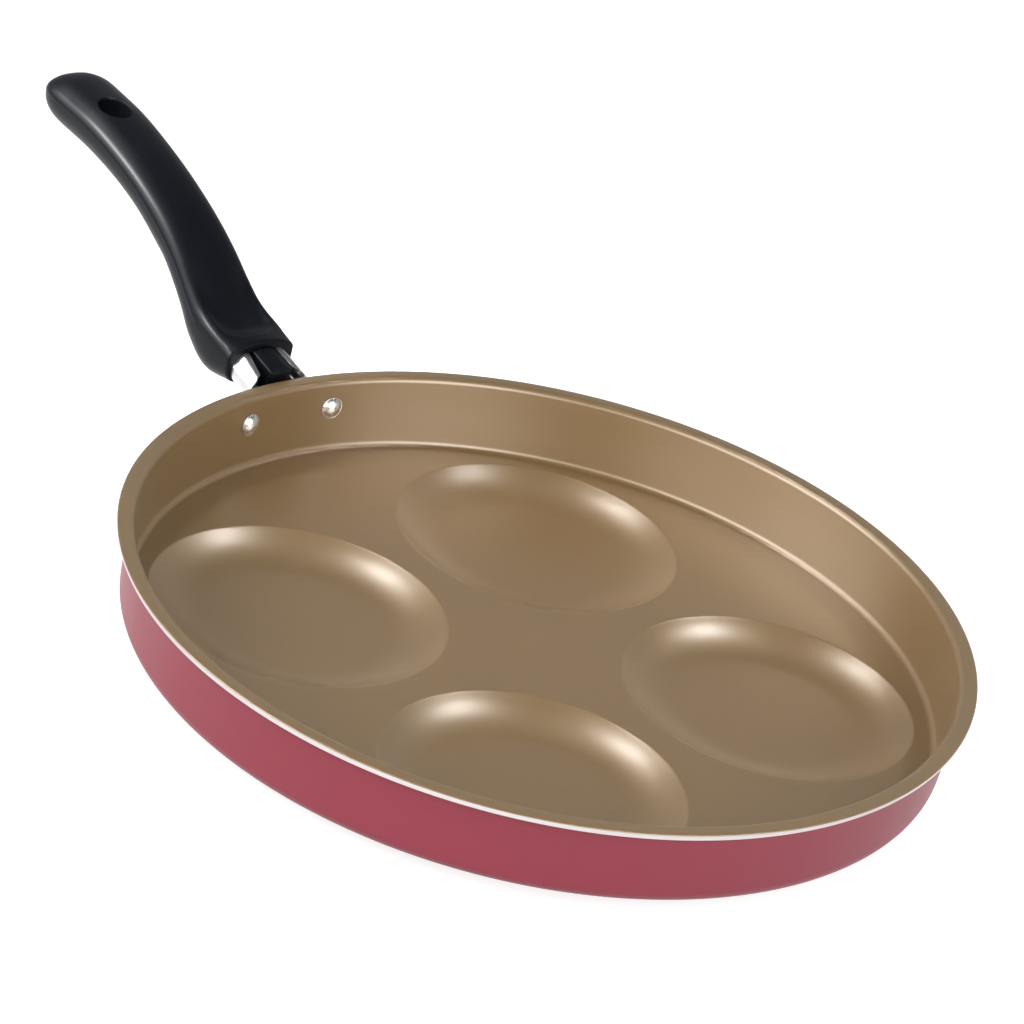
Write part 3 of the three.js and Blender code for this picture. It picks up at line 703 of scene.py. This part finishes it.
def makeBracket():
    n = neckSizes
    channel, saddle = newObject("channel", makeChannel()), newObject("saddle", makeSaddle())
    for part in (channel, saddle):
        thick = part.modifiers.new("sheet", "SOLIDIFY")
        thick.thickness = n["sheet"]
        thick.offset = -1
        thick.use_even_offset = True
        settle(part)
        if part == channel:      # room under the rim
            low = rimHeight - panSizes["rimThickness"] - n["clearance"]
            high, side = rimHeight + n["rimRoom"], rimRadius + n["clearance"]
            room = [(0, low), (side, low), (side, high), (0, high)]
            cutAway(part, newObject("rimRoom", turnedSolid("rimRoom", room, panSizes["facets"])))
        softenEdges(part, n["cutRound"], n["cutSegments"], n["cutAngle"])
    bracket = newObject("handleBracket", joinMeshes("handleBracket", [channel.data, saddle.data]))
    for part in (channel, saddle):
        bpy.data.objects.remove(part)
    finishPiece(bracket, [polishedSteel], ["handle_bracket"], n["sharpAngle"])


makeBracket()


# Grip: lofted through stations of top and bottom points [along, up] and half widths, from the mouth

gripSizes = {
    "stations": [
        ((8.0, 9.0), (12.5, -8.0), 13.8), ((16.5, 12.0), (22.0, -3.3), 13.5),
        ((23.5, 16.9), (30.5, 4.6), 12.9), ((32.0, 23.9), (41.0, 12.3), 12.3),
        ((42.5, 30.7), (50.5, 17.2), 11.9), ((56.5, 37.4), (62.5, 23.2), 11.7),
        ((71.5, 42.8), (76.0, 27.7), 11.8), ((88.5, 47.2), (91.5, 31.0), 12.2),
        ((104.5, 49.3), (105.5, 32.6), 12.5)],
    "mouthWall": 1.5, "mouthRound": 1.1, "mouthArch": 1.3, "mouthEdge": 1.6, "archFade": 0.13,
    "clearance": 0.25, "archDepth": (0.6, 4.0), "socketRoom": 0.3,
    "widestShare": 0.3, "crown": (1.4, 2.0), "edgeRadius": (1.8, 7.0), "edgeLimit": 0.97, "sideLean": 0.35,
    "undersideSquareness": (4.0, 2.1), "squareFade": 2.0,
    "tipLength": 13.4, "tipBluntness": 2.8, "tipRings": 26, "tipPacking": 1.5, "tipFlat": 0.985,
    "hollowLength": 24.0, "hollowWidth": 21.0, "hollowDepth": 1.65, "hollowSetback": 3.0,
    "hollowSlope": 5.5, "hollowBend": 5.0,
    "hangingHole": 5.6, "hangingRound": 1.8, "hangingLift": 0.35, "hangingInset": 26.5, "holeFacets": 96,
    "partingHeight": 0.1, "partingFade": (0.16, 0.3),
    "noseWidth": 8.6, "noseReach": 11.5, "noseRise": 0.6, "noseCrown": 0.5, "crownWidth": 3.6,
    "noseRound": 0.5, "noseCorner": 1.3, "noseBow": 0.5, "noseFoot": 0.4,
    "noseSink": 1.8, "sinkRange": (1.0, 6.0),
    "screwPlace": 11.0, "seatWall": 2.2, "boreRadius": 4.3, "boreDepth": 14.0, "boreFacets": 64,
    "nearShare": 0.3, "nearRings": 66, "farRings": 84, "sharpAngle": 32,
    "sidePoints": 6, "edgePoints": 12, "crownPoints": 20, "lowerPoints": 56,
}
screwSeat = -neckHeight / 2 - neckSizes["clearance"] - gripSizes["seatWall"]
screwFrame = neckFrame @ Matrix.Translation((gripSizes["screwPlace"], 0, 0))


# Smooth line through points, spaced by the root of their distances
def smoothLine(points):
    def at(share):
        x = share * (len(points) - 1)
        k = min(int(x), len(points) - 2)
        w = x - k
        p1, p2 = points[k], points[k + 1]
        p0 = points[k - 1] if k > 0 else p1 * 2 - p2
        p3 = points[k + 2] if k + 2 < len(points) else p2 * 2 - p1
        d0, d1, d2 = [(b - a).length ** 0.5 for a, b in ((p0, p1), (p1, p2), (p2, p3))]
        t1 = ((p1 - p0) / d0 - (p2 - p0) / (d0 + d1) + (p2 - p1) / d1) * d1
        t2 = ((p2 - p1) / d1 - (p3 - p1) / (d1 + d2) + (p3 - p2) / d2) * d1
        return p1 + t1 * w + (p2 * 3 - p1 * 3 - t1 * 2 - t2) * w ** 2 + (p1 * 2 - p2 * 2 + t1 + t2) * w ** 3
    return at


def gripLines():
    g, n = gripSizes, neckSizes
    tall = (neckHeight / 2 + n["clearance"] + g["mouthWall"]) / math.cos(neckTilt)
    wide = n["width"] / 2 + n["clearance"] + g["mouthWall"]
    tops, bottoms = [Vector((0, wide, tall + g["mouthArch"]))], [Vector((0, wide, -tall))]
    for top, bottom, half in g["stations"]:
        tops.append(Vector((top[0], half, top[1])))
        bottoms.append(Vector((bottom[0], half, bottom[1])))
    return smoothLine([mouthPlace + p for p in tops]), smoothLine([mouthPlace + p for p in bottoms])


# Upper half of a section: flat sides, a crowned top, and an edge between them
def topOutline(half, rise, crown, edge):
    g = gripSizes
    corner = Vector((half - g["sideLean"], rise - crown))
    foot = Vector((half, 0))
    arch = (corner.x ** 2 + crown ** 2) / (2 * crown)
    low = corner.lerp(foot, min(edge / (foot - corner).length, g["edgeLimit"]))
    start = math.asin(corner.x / arch) - edge / arch
    top = [Vector((arch * math.sin(a), rise - arch + arch * math.cos(a)))
           for a in spread(start, 0, g["crownPoints"])]
    side = [foot.lerp(low, k) for k in spread(0, 1, g["sidePoints"])[:-1]]
    bend = [low * (1 - k) ** 2 + corner * (2 * k * (1 - k)) + top[0] * k ** 2
            for k in spread(0, 1, g["edgePoints"])[:-1]]
    right = side + bend + top
    return right + [Vector((-p.x, p.y)) for p in right[-2::-1]]


# Lower half, a superellipse, evenly spaced along its length
def lowerOutline(half, fall, power):
    fine, bend = 400, 2 / power
    dense = []
    for a in spread(0, math.pi, fine):
        c, s = math.cos(a), math.sin(a)
        dense.append(Vector((-math.copysign(abs(c) ** bend, c) * half, -abs(s) ** bend * fall)))
    run = [0.0]
    for a, b in zip(dense, dense[1:]):
        run.append(run[-1] + (b - a).length)
    points, k = [], 0
    for goal in spread(0, run[-1], gripSizes["lowerPoints"]):
        while k < fine - 1 and run[k + 1] < goal:
            k += 1
        share = (goal - run[k]) / max(run[k + 1] - run[k], 1e-9)
        points.append(dense[k].lerp(dense[k + 1], min(1.0, share)))
    return points


def gripRing(topLine, bottomLine, share):
    g = gripSizes
    topPoint, bottomPoint = topLine(share), bottomLine(share)
    half = topPoint.y
    topFlat, bottomFlat = Vector((topPoint.x, 0, topPoint.z)), Vector((bottomPoint.x, 0, bottomPoint.z))
    up = topFlat - bottomFlat
    height = up.length
    up.normalize()
    middle = topFlat.lerp(bottomFlat, g["widestShare"])
    rise, fall = height * g["widestShare"], height * (1 - g["widestShare"])
    near = max(0.0, 1 - share / g["archFade"]) ** 2
    crown = between(g["crown"], share) + g["mouthArch"] * near
    edge = between(g["edgeRadius"], share) + g["mouthEdge"] * near
    power = between(g["undersideSquareness"], min(1.0, g["squareFade"] * share))
    upper, lower = topOutline(half, rise, crown, edge), lowerOutline(half, fall, power)
    ring = [middle + up * q.y + Vector((0, q.x, 0)) for q in upper[:-1] + lower[:-1]]
    return ring, len(upper) - 1, up


# Depth of the thumb hollow: it falls away behind a U-shaped edge and fades out backwards
def hollowDepth(along, across):
    g = gripSizes
    side = abs(across) / (g["hollowWidth"] / 2)
    if side >= 1:
        return 0.0
    slope = g["hollowSlope"]
    inside = along - g["hollowSetback"] - g["hollowBend"] * side ** 3
    fall = math.sin(math.pi / 2 * clamp(inside / slope))
    back = clamp((inside - slope) / (g["hollowLength"] - slope))
    return g["hollowDepth"] * fall * (1 - back * back * (3 - 2 * back)) * (1 - side ** 4)


# Rings of the grip's skin from the mouth to the blunt tip
def gripRings(topLine, bottomLine):
    g = gripSizes
    early, late = g["partingFade"]
    rings = []
    for share in spread(0, g["nearShare"], g["nearRings"]) + spread(g["nearShare"], 1, g["farRings"])[1:]:
        ring, widest, up = gripRing(topLine, bottomLine, share)
        for i in range(1, widest):
            ring[i] = ring[i] - up * hollowDepth(ring[i].x - mouthPlace.x, ring[i].y)
        # the mould's parting line
        ridge = Vector((0, g["partingHeight"] * clamp((share - early) / (late - early)), 0))
        ring[0] = ring[0] + ridge
        ring[widest] = ring[widest] - ridge
        rings.append(ring)
    endRing, endTop, endBottom = rings[-1], topLine(1.0), bottomLine(1.0)
    centre = Vector(((endTop.x + endBottom.x) / 2, 0, (endTop.z + endBottom.z) / 2))
    before = 0.995
    onward = (endTop - topLine(before)).normalized() + (endBottom - bottomLine(before)).normalized()
    onward = Vector((onward.x, 0, onward.z)).normalized()
    for k in range(1, g["tipRings"] + 1):
        a = math.pi / 2 * (1 - (1 - k / g["tipRings"]) ** g["tipPacking"]) * g["tipFlat"]
        ahead = g["tipLength"] * math.sin(a) ** (2 / g["tipBluntness"])
        shrink = math.cos(a) ** (2 / g["tipBluntness"])
        rings.append([centre.lerp(p, shrink) + onward * ahead for p in endRing])
    return rings


# The socket's outline in the directions of the mouth's points, its ceiling raised to an arch
def socketOutline(mouth, arch):
    path, _ = neckSection(gripSizes["clearance"])
    left, right = path[-1], path[0]
    path += [left.lerp(right, k) + Vector((0, arch * 4 * k * (1 - k))) for k in spread(0, 1, 12)[1:-1]]
    parallel, slack = 1e-9, 1e-6
    outline = []
    for p in mouth:
        way = Vector((p.y, p.z - mouthPlace.z))
        hits = []
        for a, b in zip(path, path[1:] + path[:1]):
            edge = b - a
            cross = way.x * edge.y - way.y * edge.x
            if abs(cross) < parallel:
                continue
            t = (a.x * edge.y - a.y * edge.x) / cross
            s = (a.x * way.y - a.y * way.x) / cross
            if t > 0 and -slack <= s <= 1 + slack:
                hits.append(t)
        outline.append(way * min(hits))
    return outline


# Rings from the end of the socket to the mouth's rounded lip
def mouthRings(mouth):
    g = gripSizes
    centre = Vector((mouthPlace.x, 0, mouthPlace.z))
    rounding = g["mouthRound"]
    arched, plain = socketOutline(mouth, g["mouthArch"]), socketOutline(mouth, 0.0)
    archEnd, plainStart = g["archDepth"]
    socketEnd = neckSizes["socketDepth"] + g["socketRoom"]
    rings = []
    for along, outline in ((socketEnd, plain), (plainStart, plain), (archEnd, arched), (-rounding, arched)):
        ring = []
        for q in outline:
            p = neckFrame @ Vector((0, q.x, q.y))
            slide = (mouthPlace.x + along - p.x) / math.cos(neckTilt)
            ring.append(p + neckTurn @ Vector((slide, 0, 0)))
        rings.append(ring)
    for a in spread(90, 0, 5)[:-1]:
        s, c = sineCosine(a)
        inset = rounding * (1 - c)
        rings.append([p - (p - centre).normalized() * inset - Vector((rounding * s, 0, 0)) for p in mouth])
    return rings


# Cutter for the hanging hole, which widens at both ends
def makeHangingHole(topLine, bottomLine):
    g = gripSizes
    endTop, endBottom, _ = g["stations"][-1]
    place = (endTop[0] + endBottom[0]) / 2 + g["tipLength"] - g["hangingInset"] + mouthPlace.x
    share = min(spread(0, 1, 400), key=lambda t: abs((topLine(t).x + bottomLine(t).x) / 2 - place))
    top, bottom = topLine(share), bottomLine(share)
    up = Vector((top.x - bottom.x, 0, top.z - bottom.z))
    tall, flare, lift = up.length, g["hangingRound"], g["hangingLift"]
    middle = g["hangingHole"] + flare
    wide, past, rise = middle + 4, 6, 0.6
    profile = [(0, -tall - past), (wide, -tall - past), (wide, -tall - rise)]
    profile += arc((middle, -tall + flare - lift), flare, 270, 180, 8)
    profile += arc((middle, -flare + lift), flare, 180, 90, 8)
    profile += [(wide, rise), (wide, past), (0, past)]
    mesh = turnedSolid("hangingHole", profile, g["holeFacets"])
    mesh.transform(Matrix.Translation((top.x, 0, top.z)) @ Matrix.Rotation(math.atan2(up.x, up.z), 4, "Y"))
    return newObject("hangingHole", mesh)


def makeScrewBore():
    g = gripSizes
    bore, end = g["boreRadius"], screwSeat - g["boreDepth"]
    profile = [(0, screwSeat), (bore, screwSeat), (bore, end), (0, end)]
    mesh = turnedSolid("screwBore", profile, g["boreFacets"])
    mesh.transform(screwFrame)
    return newObject("screwBore", mesh)


# Nose: a tongue with a slightly bowed front that lies in the channel
def makeNose():
    g = gripSizes
    high = neckHeight / 2 + g["noseRise"]
    end = neckSizes["socketDepth"] + 1
    foot, edge, crownWidth = g["noseFoot"], g["noseRound"], g["crownWidth"]
    sinkStart, sinkEnd = g["sinkRange"]

    def outlineAt(inset, height):
        half, front = g["noseWidth"] / 2 - inset, inset - g["noseReach"]
        corner = max(g["noseCorner"] - inset, 0.2)
        left = [(x, half) for x in spread(end, front + corner, 14)]
        left += arc((front + corner, half - corner), corner, 90, 180, 8)[1:]
        left += [(front, y) for y in spread(half - corner, 0, 6)[1:]]
        points = []
        for x, y in left + [(x, -y) for x, y in left[-2::-1]]:
            bow = g["noseBow"] * (y / half) ** 2 if x < front + corner + 0.1 else 0.0
            # inside the grip the top sinks, clear of the thumb hollow
            sink = g["noseSink"] * clamp((x - sinkStart) / (sinkEnd - sinkStart)) if height > 0 else 0.0
            points.append(neckFrame @ Vector((x + bow, y, height - sink)))
        return points

    levels = [(foot, channelFloor), (0.0, channelFloor + foot), (0.0, high - edge)]
    for a in spread(0, 90, 5)[1:]:
        s, c = sineCosine(a)
        levels.append((edge * (1 - c), high - edge * (1 - s)))
    for inset in spread(0, crownWidth, 3)[1:]:
        levels.append((inset, high + g["noseCrown"] * (1 - (1 - inset / crownWidth) ** 2)))
    return skinMesh("nose", [outlineAt(*level) for level in levels], True, True)


def makeGrip():
    topLine, bottomLine = gripLines()
    rings = gripRings(topLine, bottomLine)
    skin = skinMesh("gripSkin", mouthRings(rings[0]) + rings, True, True)
    grip = newObject("handleGrip", joinMeshes("gripBody", [skin]))
    cutAway(grip, makeHangingHole(topLine, bottomLine))
    cutAway(grip, makeScrewBore())
    grip.data = joinMeshes("handleGrip", [grip.data, makeNose()], 1e-5)
    finishPiece(grip, [blackPhenolic], ["handle_grip"], gripSizes["sharpAngle"])


makeGrip()


# Screw and washer under the grip; the brass insert is out of sight and keeps its solid

screwSizes = {
    "shank": 2.0, "head": 3.6, "headHeight": 2.0, "headRound": 0.9, "headCrown": (0.12, 0.09),
    "slot": 1.0, "slotDepth": 0.9, "edgeRound": 0.1, "tipTaper": 1.0, "insertLength": 5.6, "gap": 0.3,
    "washer": 4.0, "washerThickness": 0.8, "washerBoreEdge": 0.1, "washerEdge": 0.15,
    "facets": 64, "sharpAngle": 35,
}


def makeScrew():
    s = screwSizes
    head, shank, bend, facets = s["head"], s["shank"], s["headRound"], s["facets"]
    washerTop = screwSeat - s["gap"]
    washerLow = washerTop - s["washerThickness"]
    headTop = washerLow - s["gap"]
    headLow = headTop - s["headHeight"]
    tip = channelFloor + s["insertLength"]

    middle, shoulder = s["headCrown"]
    profile = [(0, headLow - middle), (head * 0.4, headLow - shoulder)]
    profile += arc((head - bend, headLow + bend), bend, -90, 0, 6)
    profile += [(head, headTop), (shank, headTop), (shank, tip - s["tipTaper"]), (shank / 2, tip), (0, tip)]
    screw = newObject("handleScrew", turnedSolid("handleScrew", profile, facets))
    bpy.ops.mesh.primitive_cube_add(size=1)
    slotCutter = bpy.context.object
    slotCutter.data.transform(Matrix.Translation((0, 0, headLow)) @ Matrix.Diagonal(
        (2 * head + 2, s["slot"], 2 * s["slotDepth"], 1)))
    cutAway(screw, slotCutter)
    softenEdges(screw, s["edgeRound"], 2, 50)
    screw.data.transform(screwFrame)
    finishPiece(screw, [zincSteel], ["handle_screw"], s["sharpAngle"])

    bore, outer = shank + s["gap"], s["washer"]
    inner, rim = s["washerBoreEdge"], s["washerEdge"]
    ring = [(bore, washerLow + inner), (bore + inner, washerLow), (outer - rim, washerLow),
            (outer, washerLow + rim), (outer, washerTop - rim), (outer - rim, washerTop),
            (bore + inner, washerTop), (bore, washerTop - inner), (bore, washerLow + inner)]
    washer = newObject("screwWasher", turnedSolid("screwWasher", ring, facets))
    washer.data.transform(screwFrame)
    finishPiece(washer, [zincSteel], ["screw_washer"], s["sharpAngle"])
    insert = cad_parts["screw_insert"]
    insert.data.materials.clear()
    insert.data.materials.append(turnedBrass)


makeScrew()


# Floor, light and camera

stageSizes = {
    "floor": 6.0, "floorTone": 0.5, "floorGlow": 0.74,
    "worldTone": 0.08, "backdropTone": 0.42, "backdropTop": (29, 42),
    # lamps: name, direction from the pan, distance, size, spread in degrees, place aimed at, watts
    "spots": [
        ("backRight", (-0.125, -0.505, 0.854), 2.4, 0.03, 9.8, (-60, 32, 16), 55.0),
        ("gripLeft", (0.382, 0.493, 0.782), 2.48, 0.02, 3.1, (210, 0, 62), 560.0)],
    "spotBlend": 0.4,
    "softLamps": [
        ("backLeft", (0.489, 0.053, 0.868), 2.6, 0.5, 16.2, (5, 50, 16), 0.23),
        ("left", (0.58, 0.65, 0.5), 1.9, 1.4, 180, (0, 0, 16), 24.0),
        ("frontLeft", (0.05, 0.9, 0.42), 1.9, 1.8, 180, (0, 0, 16), 27.5),
        ("front", (-0.65, 0.73, 0.25), 1.9, 1.8, 180, (0, 0, 16), 6.0),
        ("frontRight", (-0.9, 0.05, 0.42), 1.9, 1.8, 180, (0, 0, 16), 35.0)],
    "cameraPlace": (-0.712905, 0.749157, 0.570722), "cameraTurn": (61.63785, -12.33249, -131.66239),
    "lens": 133.594, "sensor": 36, "clipStart": 0.05,
}


# 1 for the rays that show the background: from the camera, in reflections and through glass
def seenRays(tree):
    rays = addNode(tree, "ShaderNodeLightPath").outputs
    some = addMath(tree, "MAXIMUM", rays["Is Camera Ray"], rays["Is Glossy Ray"])
    return addMath(tree, "MAXIMUM", some, rays["Is Transmission Ray"])


def makeFloor():
    s = stageSizes
    bpy.ops.mesh.primitive_plane_add(size=s["floor"])
    floor = bpy.context.object
    floor.name = "studioFloor"
    paper = bpy.data.materials.new("studioPaper")
    paper.use_nodes = True
    tree = paper.node_tree
    tree.nodes.remove(tree.nodes["Principled BSDF"])
    diffuse = addNode(tree, "ShaderNodeBsdfDiffuse", {"Color": (s["floorTone"],) * 3 + (1,)})
    glow = addNode(tree, "ShaderNodeEmission", {
        "Strength": addMath(tree, "MULTIPLY", seenRays(tree), s["floorGlow"])})
    both = addNode(tree, "ShaderNodeAddShader", {0: diffuse.outputs["BSDF"], 1: glow.outputs["Emission"]})
    tree.links.new(both.outputs["Shader"], tree.nodes["Material Output"].inputs["Surface"])
    floor.data.materials.append(paper)


# A dim world with a pale backdrop up to some height, seen by the camera and in reflections
def makeWorld():
    s = stageSizes
    world = bpy.data.worlds.new("studio")
    bpy.context.scene.world = world
    world.use_nodes = True
    tree = world.node_tree
    heading = addNode(tree, "ShaderNodeTexCoord")
    height = addNode(tree, "ShaderNodeSeparateXYZ", {"Vector": heading.outputs["Generated"]})
    low, high = [math.sin(math.radians(a)) for a in s["backdropTop"]]
    share = addNode(tree, "ShaderNodeMapRange", {
        "Value": height.outputs["Z"], "From Min": low, "From Max": high, "To Min": 1.0, "To Max": 0.0})
    tone = addNode(tree, "ShaderNodeMapRange", {
        "Value": addMath(tree, "MULTIPLY", share.outputs["Result"], seenRays(tree)),
        "To Min": s["worldTone"], "To Max": s["backdropTone"]})
    back = tree.nodes["Background"]
    back.inputs["Color"].default_value = (1, 1, 1, 1)
    tree.links.new(tone.outputs["Result"], back.inputs["Strength"])


def makeLamps():
    s = stageSizes
    middle = toFrame @ Vector((0, 0, rimHeight / 2))
    for kind, lamps in (("SPOT", s["spots"]), ("AREA", s["softLamps"])):
        for name, direction, distance, size, spreading, aim, watts in lamps:
            lamp = bpy.data.lights.new(name, kind)
            lamp.energy = watts
            if kind == "SPOT":
                lamp.shadow_soft_size = size
                lamp.spot_size = math.radians(spreading)
                lamp.spot_blend = s["spotBlend"]
            else:
                lamp.shape = "DISK"
                lamp.size = size
                lamp.spread = math.radians(spreading)
            holder = newObject(name, lamp)
            holder.location = middle + Vector(direction).normalized() * distance
            facing = holder.location - toFrame @ Vector(aim)
            holder.rotation_euler = facing.to_track_quat("Z", "Y").to_euler()


def makeCamera():
    s = stageSizes
    camera = bpy.data.cameras.new("camera")
    camera.sensor_width = s["sensor"]
    camera.lens = s["lens"]
    camera.clip_start = s["clipStart"]
    holder = newObject("camera", camera)
    holder.location = s["cameraPlace"]
    holder.rotation_euler = [math.radians(a) for a in s["cameraTurn"]]
    bpy.context.scene.camera = holder


makeFloor()
makeWorld()
makeLamps()
makeCamera()
bpy.context.scene.view_settings.view_transform = "Standard"
print("stage ready")
